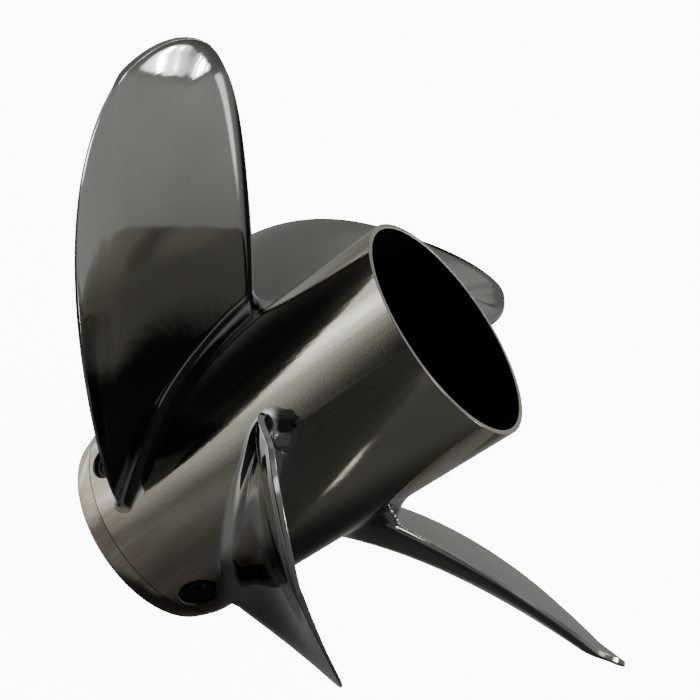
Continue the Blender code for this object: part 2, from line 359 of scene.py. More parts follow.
def turned_steel():
    made, tree = blank("turned_steel_rim")
    where = add(tree, "ShaderNodeTexCoord").outputs["Object"]
    rings = add(
        tree,
        "ShaderNodeTexWave",
        {
            "wave_type": "RINGS",
            "rings_direction": "Z",
            "Scale": WAVE_TEXTURE_STEP * every(RING_SPACING),
            "Distortion": 0.6,
            "Detail": 2.0,
        },
        {"Vector": where},
    )
    relief = {"Strength": 0.3, "Distance": 0.00002}
    bump = add(tree, "ShaderNodeBump", relief, {"Height": rings.outputs["Fac"]})
    shader = add(
        tree,
        "ShaderNodeBsdfPrincipled",
        {"Base Color": linear("#E2E0DA"), "Metallic": 1.0, "Roughness": 0.45},
        {"Normal": bump.outputs["Normal"]},
    )
    add(tree, "ShaderNodeOutputMaterial", {}, {"Surface": shader.outputs["BSDF"]})
    return made


rim_steel = turned_steel()
print("rings on the rim", RING_SPACING, "mm apart")

# %% [markdown]
# ### Moulded black plastic and machined brass
# The vent plugs and the drive sleeve are moulded in black plastic: the mould's fine texture leaves
# them dull, with a wide weak shine. The bush is brass, cut on a lathe and broached, so it has fine
# turning lines and dark stains of tarnish. Both textures are noise and waves in bump, because
# neither is deep enough to change the outline of a piece.

# %% Moulded plastic
TEXTURE_SPACING = 0.714  # mm


def moulded_plastic():
    made, tree = blank("moulded_black_plastic")
    where = add(tree, "ShaderNodeTexCoord").outputs["Object"]
    grain = {"Scale": every(TEXTURE_SPACING), "Detail": 2.0}
    texture = add(tree, "ShaderNodeTexNoise", grain, {"Vector": where})
    relief = {"Strength": 0.25, "Distance": 0.00005}
    bump = add(tree, "ShaderNodeBump", relief, {"Height": texture.outputs["Fac"]})
    rough = add(
        tree,
        "ShaderNodeMapRange",
        {"To Min": 0.55, "To Max": 0.70},
        {"Value": texture.outputs["Fac"]},
    )
    shader = add(
        tree,
        "ShaderNodeBsdfPrincipled",
        {"Base Color": linear("#161617"), "IOR": 1.49},
        {"Roughness": rough.outputs["Result"], "Normal": bump.outputs["Normal"]},
    )
    add(tree, "ShaderNodeOutputMaterial", {}, {"Surface": shader.outputs["BSDF"]})
    return made


plastic = moulded_plastic()
print("plastic texture", TEXTURE_SPACING, "mm")

# %% Machined brass
LINE_SPACING = 0.628  # mm
TARNISH_SPACING = 11.1


def machined_brass():
    made, tree = blank("machined_brass")
    where = add(tree, "ShaderNodeTexCoord").outputs["Object"]
    lines = add(
        tree,
        "ShaderNodeTexWave",
        {
            "bands_direction": "Z",
            "Scale": WAVE_TEXTURE_STEP * every(LINE_SPACING),
            "Distortion": 1.0,
            "Detail": 2.0,
        },
        {"Vector": where},
    )
    spots = {"Scale": every(TARNISH_SPACING), "Detail": 4.0}
    tarnish = add(tree, "ShaderNodeTexNoise", spots, {"Vector": where})
    colour = add(
        tree,
        "ShaderNodeMix",
        {"data_type": "RGBA", 6: linear("#C7A45A"), 7: linear("#8A6B35")},
        {0: tarnish.outputs["Fac"]},
    )
    relief = {"Strength": 0.3, "Distance": 0.00002}
    bump = add(tree, "ShaderNodeBump", relief, {"Height": lines.outputs["Fac"]})
    shader = add(
        tree,
        "ShaderNodeBsdfPrincipled",
        {"Metallic": 1.0, "Roughness": 0.3},
        {"Base Color": colour.outputs[2], "Normal": bump.outputs["Normal"]},
    )
    add(tree, "ShaderNodeOutputMaterial", {}, {"Surface": shader.outputs["BSDF"]})
    return made


brass = machined_brass()
print("brass turning lines", LINE_SPACING, "mm apart")

# %% [markdown]
# ## The line of the tube's outside
# The tube is a slim cone that widens aft. Ahead of a line turned round it, near the front, the nose
# curves in to the front rim. The blades stand on this surface and the tube is turned from it, so its
# radius is one function of the height that both can ask. It could be read from the solids' mesh, but
# a formula has no steps, and a mirror shows every step.

# %% The radius of the tube
HUB_LENGTH = 0.2009
RIM_RADIUS = 0.0545  # at the front rim
GROOVE_HEIGHT = 0.0132  # where the line is turned
GROOVE_RADIUS = 0.0581
REAR_RADIUS = 0.0595
NOSE_POWER = 1.5


def hub_radius(height):
    cone = np.interp(height, (GROOVE_HEIGHT, HUB_LENGTH), (GROOVE_RADIUS, REAR_RADIUS))
    ahead = np.clip(1 - np.asarray(height) / GROOVE_HEIGHT, 0, 1)
    return cone - (GROOVE_RADIUS - RIM_RADIUS) * ahead**NOSE_POWER


print("tube", round(2 * REAR_RADIUS / MM), "mm across at the rear")

# %% [markdown]
# ## The shape that the blades share
# A blade is a twisted sheet. `w` runs across it, from the trailing to the leading edge, and `s` from
# the hub to the tip, and the outline is where w squared plus s makes 1, a parabola. With those two
# numbers the sheet stays smooth right up to the tip, where lines drawn straight across would all run
# into one point. The numbers are the same as in the solids, so the finer blades lie where the solids
# are. Three touches are this model's own: the tip is a little fuller than a parabola, the leading
# edge is cut back just below it, which leaves a corner, and the tip leans forward. Each grows with a
# high power of `s`, so it has died away by the middle of the blade.

# %% The sheet in the middle of a blade
TIP_RADIUS = 0.1902
HALF_ANGLE = (37.9, 19.8, -28.5, 21.6)  # degrees from the middle to an edge, by powers of s
SKEW = 25.2  # degrees that the tip lies behind the root
SKEW_POWER = 1.57
ROOT_PITCH = 0.421  # metres along the shaft for one turn
TIP_PITCH = 0.4825
ROOT_HEIGHT = 0.0705
RAKE = 0.0807
RAKE_EASE = 0.0196
CAMBER = (0.0032, 0.0017, 0.0049)
SPAN = TIP_RADIUS - (GROOVE_RADIUS + REAR_RADIUS) / 2
TIP_GROWTH = 0.0011  # how much fuller the tip is than a plain parabola
GROWTH_COMES, GROWTH_GOES = (-0.45, -0.15), (0.11, 0.17)  # along w
LEADING_TRIM = 0.0016  # how much the leading edge is cut back below the tip's corner
TRIM_COMES, TRIM_GOES = (0.13, 0.19), (0.22, 0.42)
OUTLINE_POWER = 6
TIP_LEAN = 0.0014  # the tip leans forward before it is bent aft
LEAN_POWER = 8


def powers(terms, s):
    return sum(term * s**power for power, term in enumerate(terms))


def smooth_step(value, low, high):
    share = np.clip((value - low) / (high - low), 0, 1)
    return share * share * (3 - 2 * share)


def between(value, comes, goes):
    return smooth_step(value, *comes) * (1 - smooth_step(value, *goes))


def plain_sheet(w, s):
    """Points of the sheet before its edge is cupped."""
    out = np.maximum(s, 0)
    angle = np.radians(-SKEW * out**SKEW_POWER + w * powers(HALF_ANGLE, s))
    trim = LEADING_TRIM / TIP_RADIUS * between(w, TRIM_COMES, TRIM_GOES)
    angle = angle - trim * out**OUTLINE_POWER
    pitch = ROOT_PITCH + (TIP_PITCH - ROOT_PITCH) * s
    camber = powers(CAMBER, s) * (1 + s + s**2) * (1 - s - w**2)
    height = ROOT_HEIGHT + RAKE * s - RAKE_EASE * s**2 - pitch * angle / math.tau - camber
    radius = hub_radius(height) + (TIP_RADIUS - hub_radius(height)) * s
    radius = radius + TIP_GROWTH * between(w, GROWTH_COMES, GROWTH_GOES) * out**OUTLINE_POWER
    height = height - TIP_LEAN * out**LEAN_POWER
    return np.stack([radius * np.cos(angle), radius * np.sin(angle), height], axis=-1)


def slope_normal(surface, w, s, step=1e-4):
    """The aft-facing normal of a surface given as a function of w and s."""
    across = surface(w + step, s) - surface(w - step, s)
    outward = surface(w, s + step) - surface(w, s - step)
    normal = np.cross(across, outward)
    normal *= np.sign(normal[..., 2:])
    return normal / np.linalg.norm(normal, axis=-1, keepdims=True)


print("tip at", np.round(plain_sheet(np.array(0.0), np.array(1.0)) / MM, 1), "mm")

# %% [markdown]
# ## The cupped edge and the thickness
# The trailing edge and the tip are bent aft over the last few millimetres. This cup holds the water
# on the blade, and in a polished blade it shows as a dark strip beside a bright one. The tip is also
# bent aft as a whole over its last centimetre, which is what catches the bright lamp there. Both
# bends could be one fold, but they are curves that start with no slope, so the reflections run into
# them without a kink. The leading edge has no cup, and is thinner. Towards the hub the blade
# thickens, where it carries the load.

# %% Cup and thickness
CUP_WIDTHS = (0.0110, 0.0048)  # along the trailing edge, and round the tip
CUP_RISES = (0.0018, 0.0008)
CUP_CHANGES = (0.15, 0.40)  # w between which the tip's cup becomes the trailing edge's
CUP_POWER = 3
CUP_COMES = (0.0, 0.10)  # s over which it grows out of the root
LEADING_STARTS = (0.11, 0.18)  # w at the tip's corner, where the leading edge takes over
TIP_BEND_START = 0.930  # the tip is bent aft as a whole from this share of the span
TIP_BEND_SLANT = 0.40  # the line that it is bent along comes nearer the hub at the trailing edge
TIP_BEND_STRAIGHT = -0.25  # w where that line stops slanting
TIP_BEND_COMES = (-0.55, -0.20)  # w over which the bend grows from the trailing edge
TIP_BEND_RISE = 0.0028
TIP_BEND_SOFTNESS = 0.12
ACROSS_LENGTH = 0.150  # metres of blade for one unit of w, roughly
ALONG_LENGTH = 0.150  # and for one unit of s
TRAILING_THICKNESS = 0.0029
LEADING_THICKNESS = 0.0014
THINNING_STARTS = (0.12, 0.33)
LEADING_TAPER = 0.045  # metres over which the blade thins towards its leading edge
MIDDLE_GAIN = 0.0006
ROOT_THICKENING = 0.0075
THICKENING_POWER = 1.2


def edge_distance(w, s):
    steepness = np.sqrt((2 * w / ACROSS_LENGTH) ** 2 + 1 / ALONG_LENGTH**2)
    return (1 - s - w**2) / steepness


def leading_share(w):
    """1 along the leading edge below the tip's corner, 0 round the tip and the trailing edge."""
    return smooth_step(w, *LEADING_STARTS)


def sheet(w, s):
    near_tip = 1 - smooth_step(np.abs(w), *CUP_CHANGES)
    width, rise = (side + (tip - side) * near_tip for side, tip in (CUP_WIDTHS, CUP_RISES))
    cup = rise * np.maximum(1 - edge_distance(w, s) / width, 0) ** CUP_POWER
    cup = cup * (1 - leading_share(w)) * smooth_step(s, *CUP_COMES)
    across = s - TIP_BEND_SLANT * np.maximum(w, TIP_BEND_STRAIGHT)
    beyond = np.maximum((across - TIP_BEND_START) / (1 - TIP_BEND_START), 0)
    beyond = beyond * smooth_step(w, *TIP_BEND_COMES)
    bend = TIP_BEND_RISE * beyond**2 * (1 + TIP_BEND_SOFTNESS) / (beyond + TIP_BEND_SOFTNESS)
    aft = cup + bend
    return plain_sheet(w, s) + aft[..., None] * slope_normal(plain_sheet, w, s)


def half_thickness(w, s):
    thin = smooth_step(w, *THINNING_STARTS)
    thin = thin * (1 - smooth_step(edge_distance(w, s), 0, LEADING_TAPER))
    edge = TRAILING_THICKNESS + (LEADING_THICKNESS - TRAILING_THICKNESS) * thin
    inside = np.maximum(1 - s - w**2, 0)
    middle = MIDDLE_GAIN + ROOT_THICKENING * np.maximum(1 - s, 0) ** THICKENING_POWER
    return (edge + middle * inside) / 2


def blade_face(side, w, s):
    """The aft face for a side of 1, the forward face for -1."""
    return sheet(w, s) + side * half_thickness(w, s)[..., None] * slope_normal(sheet, w, s)


root_middle = half_thickness(np.array(0.0), np.array(0.0))
print("thickness at the middle of the root", round(2 * float(root_middle) / MM, 1), "mm")

# %% [markdown]
# ## Laying the mesh on a blade
# The rows of the mesh follow the outline, like the rings of a shell, so that the cup, the rounded
# rim and the outline are all drawn by rows that run along them. A plain grid would cross the outline
# in steps. Near the outline the rows lie at set distances from it. Towards the middle they close up
# on a line from the tip down to the root.

# %% Rows that follow the outline
RING_DISTANCES = (0.7, 1.4, 2.2, 3.2, 4.4, 5.8, 7.3, 9.0, 11.5, 14.5, 18.0)  # mm in from the rim
MIDDLE_RINGS = 26
COLUMNS = 110
SEARCH_STEPS = 400
RIM_ROUND = 0.0005
OUTLINE_RING = math.sqrt(0.5)
MIDDLE_TOP = 0.75  # s where the line that the rows close up on begins
ROOT_RISE = 0.0092  # height over the tube where the fillet takes over from the blade
ROOT_END_RISES = (0.0125, 0.0055)  # the same at its trailing and its leading edge
ROOT_ENDS = (0.45, 1.0)  # share of the way out where that height changes


def shell_point(ring, column):
    """w and s for a ring (0.707 is the outline, 0 the middle) and a column from -1 to 1."""
    ends = smooth_step(ring / OUTLINE_RING, *ROOT_ENDS)
    end_rise = np.where(column < 0, *ROOT_END_RISES)
    root = (ROOT_RISE + (end_rise - ROOT_RISE) * ends) / SPAN
    reach = np.sqrt(2 * MIDDLE_TOP + ring**2 - 2 * root) * column
    return ring * reach, MIDDLE_TOP + (ring**2 - reach**2) / 2


def ring_table(columns):
    """For each column, the ring values that lie at the wanted distances from the outline."""
    wanted = np.array([0.0, *RING_DISTANCES]) * MM + RIM_ROUND
    fine = np.linspace(OUTLINE_RING, 0, SEARCH_STEPS)
    places = sheet(*shell_point(fine[:, None], columns[None, :]))
    steps = np.linalg.norm(np.diff(places, axis=0), axis=-1)
    gone = np.vstack([np.zeros(len(columns)), np.cumsum(steps, axis=0)])
    rings = np.zeros((1 + len(RING_DISTANCES) + MIDDLE_RINGS, len(columns)))
    for k in range(len(columns)):
        edge = np.interp(wanted, gone[:, k], fine)
        middle = np.linspace(edge[-1], 0, MIDDLE_RINGS + 1)[1:]
        rings[:, k] = np.concatenate([edge, middle])
    return rings


columns = np.linspace(-1, 1, COLUMNS + 1)
face_w, face_s = shell_point(ring_table(columns), columns[None, :])
print("rows", len(face_w), "columns", len(columns))

# %% [markdown]
# ### The two faces
# A blade is one closed mesh, so that no gap can show between its faces and its rim. All its points
# go into one list, and a strip is laid between any two rows of their numbers. The aft face and the
# forward face are laid first.

# %% The two faces
points, faces = [], []


def keep(block):
    """Adds points to the blade and gives their numbers."""
    start = len(points)
    points.extend(block)
    return np.arange(start, start + len(block))


def strips(rows, flip):
    """Lays faces between rows of point numbers, and a triangle where two corners are one point."""
    for low, high in zip(rows, rows[1:]):
        for k in range(len(low) - 1):
            corners = list(dict.fromkeys([low[k], low[k + 1], high[k + 1], high[k]]))
            if len(corners) >= 3:
                faces.append(corners[::-1] if flip else corners)


# The last ring is doubled, once for each half, so its two halves share their points.
grid = {}
middle = COLUMNS // 2
for side in (1, -1):
    places = blade_face(side, face_w, face_s)
    rows = [keep(row) for row in places[:-1]]
    last = np.empty(COLUMNS + 1, int)
    last[middle:] = keep(places[-1][middle:])
    last[:middle] = last[:middle:-1]
    grid[side] = np.array(rows + [last])
for side in (1, -1):
    strips(grid[side], side < 0)
print("faces of the blade", len(faces), "quads and triangles")

# %% [markdown]
# ### The rim
# The rim joins the two faces all round the outline: a quarter round, a flat and another quarter
# round. On the leading edge the aft quarter round gives way to a narrow flat bevel, which draws the
# bright line along that edge. Blender's own bevel could round the rim, but a rim drawn row by row
# keeps its rows in line with the faces' rows, and then nothing ripples in the reflections.

# %% The rim
RIM_ARC = 4  # steps in a quarter round
BEVEL_SHARES = (0.06, 0.5, 0.94, 1.0)  # rows of the leading edge's flat bevel, from the face out
BEVEL_STEEPNESS = 0.47  # the bevel's fall over its width
JUST_INSIDE = 0.97


def unit(vectors):
    return vectors / np.maximum(np.linalg.norm(vectors, axis=-1, keepdims=True), 1e-12)


def dot(a, b):
    return np.sum(a * b, axis=-1, keepdims=True)


def rim_profile(half, lead):
    """Across a rim: (outward, aft) offsets from the outline, from the aft face to the forward one."""
    rows = []
    for k, share in zip(range(1, RIM_ARC + 1), BEVEL_SHARES):
        turn = math.pi / 2 * k / RIM_ARC
        out = math.sin(turn) + (share - math.sin(turn)) * lead
        fall = 1 - math.cos(turn) + (share * BEVEL_STEEPNESS - 1 + math.cos(turn)) * lead
        rows.append((RIM_ROUND * (out - 1), half - RIM_ROUND * fall))
    for k in range(RIM_ARC):
        turn = math.pi / 2 * (1 - k / RIM_ARC)
        out = np.full_like(half, math.sin(turn))
        rows.append((RIM_ROUND * (out - 1), RIM_ROUND * (1 - math.cos(turn)) - half))
    return rows


# The rim's frame: along the outline, out of it, and across it.
outline_w, outline_s = shell_point(OUTLINE_RING, columns)
outline = sheet(outline_w, outline_s)
across = slope_normal(sheet, outline_w, outline_s)
along = unit(np.gradient(outline, axis=0))
outward = unit(np.cross(along, across))
inner = sheet(*shell_point(OUTLINE_RING * JUST_INSIDE, columns))
outward *= np.sign(dot(outline - inner, outward))
rim_rows = [grid[1][0]]
for out, aft in rim_profile(half_thickness(outline_w, outline_s), leading_share(outline_w)):
    rim_rows.append(keep(outline + out[:, None] * outward + aft[:, None] * across))
rim_rows = np.array(rim_rows + [grid[-1][0]])
strips(rim_rows, True)
print("rim rows", len(rim_rows))

# %% [markdown]
# ### The root and its fillet
# At the root each point of the blade's section runs down into a fillet that meets the tube flat, so
# the polished surface flows from the blade on to the tube with no line. A Boolean union with a bevel
# could join them, but it tends to fail where the blade is thin and slanted. Here the fillet is a
# curve drawn between two tangents, the blade's and the tube's. The first of the next three cells
# finds the section's points, which way they face and how the blade runs on down from them, the
# second finds where the fillet meets the tube, and the third draws it. It is wider on the faces than
# round the two ends.

# %% The section at the root
def section(level):
    """The points round the blade a few rows up from its root, from the aft face's trailing edge."""
    first, last = level, -1 - level
    return np.concatenate(
        [
            grid[1][:, first],
            grid[1][-2::-1, last],
            rim_rows[1:-1, last],
            grid[-1][:, last],
            grid[-1][-2::-1, first],
            rim_rows[-2:0:-1, first],
        ]
    )


loop = section(0)
places = np.array(points)
top = places[loop]
around = unit(np.roll(top, -1, axis=0) - np.roll(top, 1, axis=0))
facing = area_normals(places, faces)[loop]
facing = unit(facing - dot(facing, around) * around)
# Straight on from the blade's own lines, so that the edges run on as edges.
onward = unit(3 * top - 4 * places[section(1)] + places[section(2)])
down = unit(onward - dot(onward, facing) * facing)
print("points round the root", len(loop))

# %% Where the fillet begins and ends
FILLET_RADIUS = 0.0090
END_FILLETS = (0.0110, 0.0062)  # at the trailing and the leading edge
FILLET_ENDS = (0.70, 0.99)  # w between which the radius changes
SEARCH_ROUNDS = 12


def on_tube(points, depth=0.0):
    """Points moved straight in or out to the tube's surface."""
    flat = np.linalg.norm(points[..., :2], axis=-1, keepdims=True)
    radius = hub_radius(points[..., 2:]) - depth
    return np.concatenate([points[..., :2] / flat * radius, points[..., 2:]], axis=-1)


def tube_normal(points):
    slope = (REAR_RADIUS - GROOVE_RADIUS) / (HUB_LENGTH - GROOVE_HEIGHT)
    flat = points[..., :2] / np.linalg.norm(points[..., :2], axis=-1, keepdims=True)
    return unit(np.concatenate([flat, np.full_like(points[..., 2:], -slope)], axis=-1))


# Each line down the blade is followed until it meets the tube.
reach = np.full((len(top), 1), ROOT_RISE)
for _ in range(SEARCH_ROUNDS):
    here = top + down * reach
    above = np.linalg.norm(here[:, :2], axis=1) - hub_radius(here[:, 2])
    reach += above[:, None] / -dot(down, tube_normal(here))
corner = top + down * reach
around = unit(np.roll(corner, -1, axis=0) - np.roll(corner, 1, axis=0))
away = unit(np.cross(around, tube_normal(corner)))
away *= np.sign(dot(away, facing))

root_w = np.concatenate(
    [
        face_w[:, 0],
        face_w[-2::-1, -1],
        np.full(2 * RIM_ARC, 1.0),
        face_w[:, -1],
        face_w[-2::-1, 0],
        np.full(2 * RIM_ARC, -1.0),
    ]
)
end_radius = np.where(root_w < 0, *END_FILLETS)
in_middle = 1 - smooth_step(np.abs(root_w), *FILLET_ENDS)
radius = (end_radius + (FILLET_RADIUS - end_radius) * in_middle)[:, None]
opening = np.arccos(np.clip(dot(-down, away), -1, 1))
foot = on_tube(corner + away * (radius / np.tan(opening / 2)))
foot_normal = tube_normal(foot)
print("fillet feet", round(float(np.ptp(foot[:, 2])) / MM, 1), "mm from front to rear")

# %% The fillet
FILLET_ROWS = 10
SKIN_DEPTH = 0.0004  # how far the blade's closed end lies under the tube's surface

lift = dot(foot - top, foot_normal)
peak = top + down * lift / dot(down, foot_normal)
weight = np.sin(opening / 2)
fillet_rows = [loop]
for t in np.arange(1, FILLET_ROWS + 1) / FILLET_ROWS:
    a, b, c = (1 - t) ** 2, 2 * t * (1 - t) * weight, t**2
    fillet_rows.append(keep((a * top + b * peak + c * foot) / (a + b + c)))
foot_loop = fillet_rows[-1]
fillet_rows = np.array(fillet_rows + [keep(on_tube(foot, SKIN_DEPTH))])
strips(np.column_stack([fillet_rows, fillet_rows[:, 0]]), True)
print("fillet rows", len(fillet_rows))

# %% [markdown]
# ### Closing the blade
# Under the tube's surface, out of sight, a strip between the aft and the forward side's points
# closes the blade. Then bmesh turns all faces outwards, and an open edge would be a mistake, so they
# are counted. At the fillet's foot each point is told to face the way that the tube does, or a faint
# line would show there.

# %% Closing the blade
under = fillet_rows[-1]
start = len(grid[1]) * 2 - 1 + RIM_ARC  # the middle of the leading edge
for k in range(len(under) // 2):
    corners = [under[(start + step) % len(under)] for step in (k, k + 1, -k - 2, -k - 1)]
    corners = list(dict.fromkeys(corners))
    if len(corners) >= 3:
        faces.append(corners)

work = bmesh.new()
for p in points:
    work.verts.new(p)
work.verts.ensure_lookup_table()
for f in faces:
    work.faces.new([work.verts[i] for i in f])
open_edges = sum(1 for e in work.edges if len(e.link_faces) != 2)
bmesh.ops.recalc_face_normals(work, faces=work.faces)
work.verts.index_update()
faces = [[v.index for v in f.verts] for f in work.faces]
work.free()
points = np.array(points)
normals = area_normals(points, faces)
normals[foot_loop] = foot_normal
print("blade", len(points), "points", len(faces), "faces", open_edges, "open edges")

# %% [markdown]
# ## Four blades
# All four blades of a casting like this are ground to one shape, a quarter of a turn apart. They
# could be one mesh shared by four turned objects, but every piece here has its place in its points,
# as the solids have, so the points themselves are turned.

# %% Four blades
BLADES = 4
for number in range(BLADES):
    turn = np.array(Matrix.Rotation(math.tau * number / BLADES, 3, "Z")).T
    piece(
        f"cast_blade_{number + 1}",
        points @ turn,
        faces,
        normals @ turn,
        blade_steel,
        f"blade_{number + 1}",
    )
print("blades", BLADES)

# %% [markdown]
# ## The tube
# The tube is the casting's hub, which the exhaust leaves through. It is turned from a profile: up
# the outside, over the rear rim, down the inside and under the front rim. The corners are small
# arcs, and a fine line is cut round it near the front. A screw modifier could turn the profile, but
# it couldn't tell which rings of faces are polished, which are turned and which are as cast.

# %% The tube's profile
FRONT_BORE = 0.0490
REAR_BORE = 0.0569
FRONT_ROUND = 0.0022
FRONT_BEVEL = 0.0008  # at the front end of the bore
REAR_ROUND = 0.0004
GROOVE_HALF = 0.0003
GROOVE_DEPTH = 0.0003
GROOVE_LEAN = 0.0001
NOSE_RINGS, CONE_RINGS, BORE_RINGS = 9, 62, 24
FRONT_ARC, REAR_ARC = 8, 4  # steps in a rounded corner


def bore_radius(height):
    return FRONT_BORE + (REAR_BORE - FRONT_BORE) * height / HUB_LENGTH


def arc(centre, radius, start, end, count):
    turns = np.radians(np.linspace(start, end, count + 1))
    return [(centre[0] + radius * math.cos(t), centre[1] + radius * math.sin(t)) for t in turns]


def tube_profile():
    """(radius, height, finish): finish 0 is polished, 1 turned and 2 as cast, in painted shade."""
    low, high = GROOVE_HEIGHT - GROOVE_HALF, GROOVE_HEIGHT + GROOVE_HALF
    top = HUB_LENGTH - REAR_ROUND
    front_centre = hub_radius(FRONT_ROUND) - FRONT_ROUND, FRONT_ROUND
    outside = arc(front_centre, FRONT_ROUND, -90, 0, FRONT_ARC)
    outside += [(hub_radius(z), z) for z in np.linspace(FRONT_ROUND, low, NOSE_RINGS)[1:]]
    outside += [(hub_radius(low) - GROOVE_DEPTH, low + GROOVE_LEAN)]
    outside += [(hub_radius(high) - GROOVE_DEPTH, high - GROOVE_LEAN)]
    outside += [(hub_radius(z), z) for z in np.linspace(high, top, CONE_RINGS)]
    outside += arc((hub_radius(top) - REAR_ROUND, top), REAR_ROUND, 0, 90, REAR_ARC)[1:]
    inner_centre = bore_radius(HUB_LENGTH) + REAR_ROUND, top
    rim = arc(inner_centre, REAR_ROUND, 90, 180, REAR_ARC)[:-1]
    bore = [(bore_radius(z), z) for z in np.linspace(top, FRONT_ROUND, BORE_RINGS)]
    bore += [(bore_radius(0) + FRONT_BEVEL, 0.0)]
    return [(r, z, finish) for finish, rows in enumerate((outside, rim, bore)) for r, z in rows]


profile = tube_profile()
print("rings of the tube", len(profile))

# %% Turning the profile
TUBE_STEPS = 256


def turned_faces(rings, steps):
    """Faces between closed rings of points, and from the last ring on to the first."""
    made = []
    for i in range(rings):
        near, far = i * steps, (i + 1) % rings * steps
        for k in range(steps):
            onward = (k + 1) % steps
            made.append((near + k, near + onward, far + onward, far + k))
    return made


turns = np.arange(TUBE_STEPS) * math.tau / TUBE_STEPS
tube_points = [(r * math.cos(t), r * math.sin(t), z) for r, z, _ in profile for t in turns]
raw = bpy.data.meshes.new("raw_tube")
raw.from_pydata(tube_points, [], turned_faces(len(profile), TUBE_STEPS))
for look in (hub_steel, rim_steel, shaded_cast_steel):
    raw.materials.append(look)
work = bmesh.new()
work.from_mesh(raw)
bmesh.ops.recalc_face_normals(work, faces=work.faces)
for index, face in enumerate(work.faces):
    face.material_index = profile[index // TUBE_STEPS][2]
work.to_mesh(raw)
work.free()
tube = in_scene("cast_tube", raw)
print("tube", len(tube_points), "points")

# %% [markdown]
# ## Vent holes
# Four holes near the front rim let a little exhaust out over the blades, so that the engine can spin
# up faster. Each is drilled straight in towards the shaft and has its edge broken with a
# countersink. A hole could be a dark disc on the surface, but its edge catches the light, so it is
# really cut, by a Boolean with a turned drill.

# %% The drills
VENTS = 4
VENT_HEIGHT = 0.0270
VENT_TURN = 11.8
VENT_RADIUS = 0.0108
VENT_CHAMFER = 0.0008
DRILL_ABOVE = 0.004  # how far the drill stands out of the tube
DRILL_DEPTH = 0.015
OVERLAP = 0.0001  # keeps the drill's corners off the tube's own surface
DRILL_STEPS = 72


def turned_object(name, rows, steps):
    """A closed turned shape from (radius, height) rows, the first and last on the axis."""
    work = bmesh.new()
    verts = [work.verts.new((r, 0, z)) for r, z in rows]
    edges = [work.edges.new(pair) for pair in zip(verts, verts[1:])]
    bmesh.ops.spin(
        work, geom=verts + edges, cent=(0, 0, 0), axis=(0, 0, 1), angle=math.tau, steps=steps
    )
    bmesh.ops.remove_doubles(work, verts=work.verts, dist=1e-7)
    bmesh.ops.recalc_face_normals(work, faces=work.faces)
    mesh = bpy.data.meshes.new(name)
    work.to_mesh(mesh)
    work.free()
    return in_scene(name, mesh)


def vent_matrix(number):
    turn = math.radians(VENT_TURN) + math.tau * number / VENTS
    place = Matrix.Translation((0, 0, VENT_HEIGHT)) @ Matrix.Rotation(turn, 4, "Z")
    return place @ Matrix.Rotation(math.pi / 2, 4, "Y")


surface = hub_radius(VENT_HEIGHT)
drill_rows = [
    (0.0, surface + DRILL_ABOVE),
    (VENT_RADIUS + VENT_CHAMFER + DRILL_ABOVE, surface + DRILL_ABOVE),
    (VENT_RADIUS + OVERLAP, surface - VENT_CHAMFER + OVERLAP),
    (VENT_RADIUS, surface - VENT_CHAMFER - 2 * OVERLAP),
    (VENT_RADIUS, surface - DRILL_DEPTH),
    (0.0, surface - DRILL_DEPTH),
]
drills = []
for number in range(VENTS):
    drill = turned_object(f"drill_{number}", drill_rows, DRILL_STEPS)
    drill.data.materials.append(hub_steel)
    drill.matrix_world = vent_matrix(number)
    drills.append(drill)
print("drills", len(drills), "each", round(2 * VENT_RADIUS / MM, 1), "mm")

# %% Drilling the tube
for drill in drills:
    cut = tube.modifiers.new(drill.name, "BOOLEAN")
    cut.operation, cut.solver, cut.object = "DIFFERENCE", "EXACT", drill
bpy.context.view_layer.update()
with_holes = tube.evaluated_get(bpy.context.evaluated_depsgraph_get())
drilled = bpy.data.meshes.new_from_object(with_holes)
tube.modifiers.clear()
tube.data = drilled
for drill in drills:
    bpy.data.objects.remove(drill, do_unlink=True)
print("drilled tube", len(drilled.polygons), "faces")

# %% [markdown]
# ### Shading the drilled tube
# The Boolean leaves long thin faces round each hole. They are flat enough, but smooth shading
# spreads their directions unevenly, and a mirror shows that as a star round the hole. A finer mesh
# would only make it smaller, so the points on the tube's outside are told which way the true cone
# faces there.

# %% Shading the drilled tube
SHARP_ANGLE = 25  # degrees
OUTWARD_SHARE = 0.93  # how squarely a face has to look out to count as the outside
SURFACE_REACH = 0.0001  # and how near it has to lie to the true surface
SLOPE_STEP = 1e-5


def true_normal(place):
    """Which way the tube's outside faces beside a point."""
    rise = hub_radius(place.z + SLOPE_STEP) - hub_radius(place.z - SLOPE_STEP)
    radial = math.hypot(place.x, place.y)
    return Vector((place.x, place.y, -rise / (2 * SLOPE_STEP) * radial)).normalized()


def shade_tube(mesh):
    """Smooths the mesh between its sharp edges, and gives its outside the true cone's normals."""
    mesh.polygons.foreach_set("use_smooth", [True] * len(mesh.polygons))
    mesh.set_sharp_from_angle(angle=math.radians(SHARP_ANGLE))
    corner_normals = [tuple(n.vector) for n in mesh.corner_normals]
    changed = 0
    for face in mesh.polygons:
        middle = face.center
        flat = math.hypot(middle.x, middle.y)
        facing = (face.normal.x * middle.x + face.normal.y * middle.y) / flat
        near = flat > hub_radius(middle.z) - SURFACE_REACH
        if face.material_index == 0 and facing > OUTWARD_SHARE and near:
            changed += 1
            for loop in face.loop_indices:
                place = mesh.vertices[mesh.loops[loop].vertex_index].co
                corner_normals[loop] = tuple(true_normal(place))
    mesh.normals_split_custom_set(corner_normals)
    return changed


print("faces with the true cone's normals", shade_tube(tube.data))
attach(tube, "root")
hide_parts("barrel")
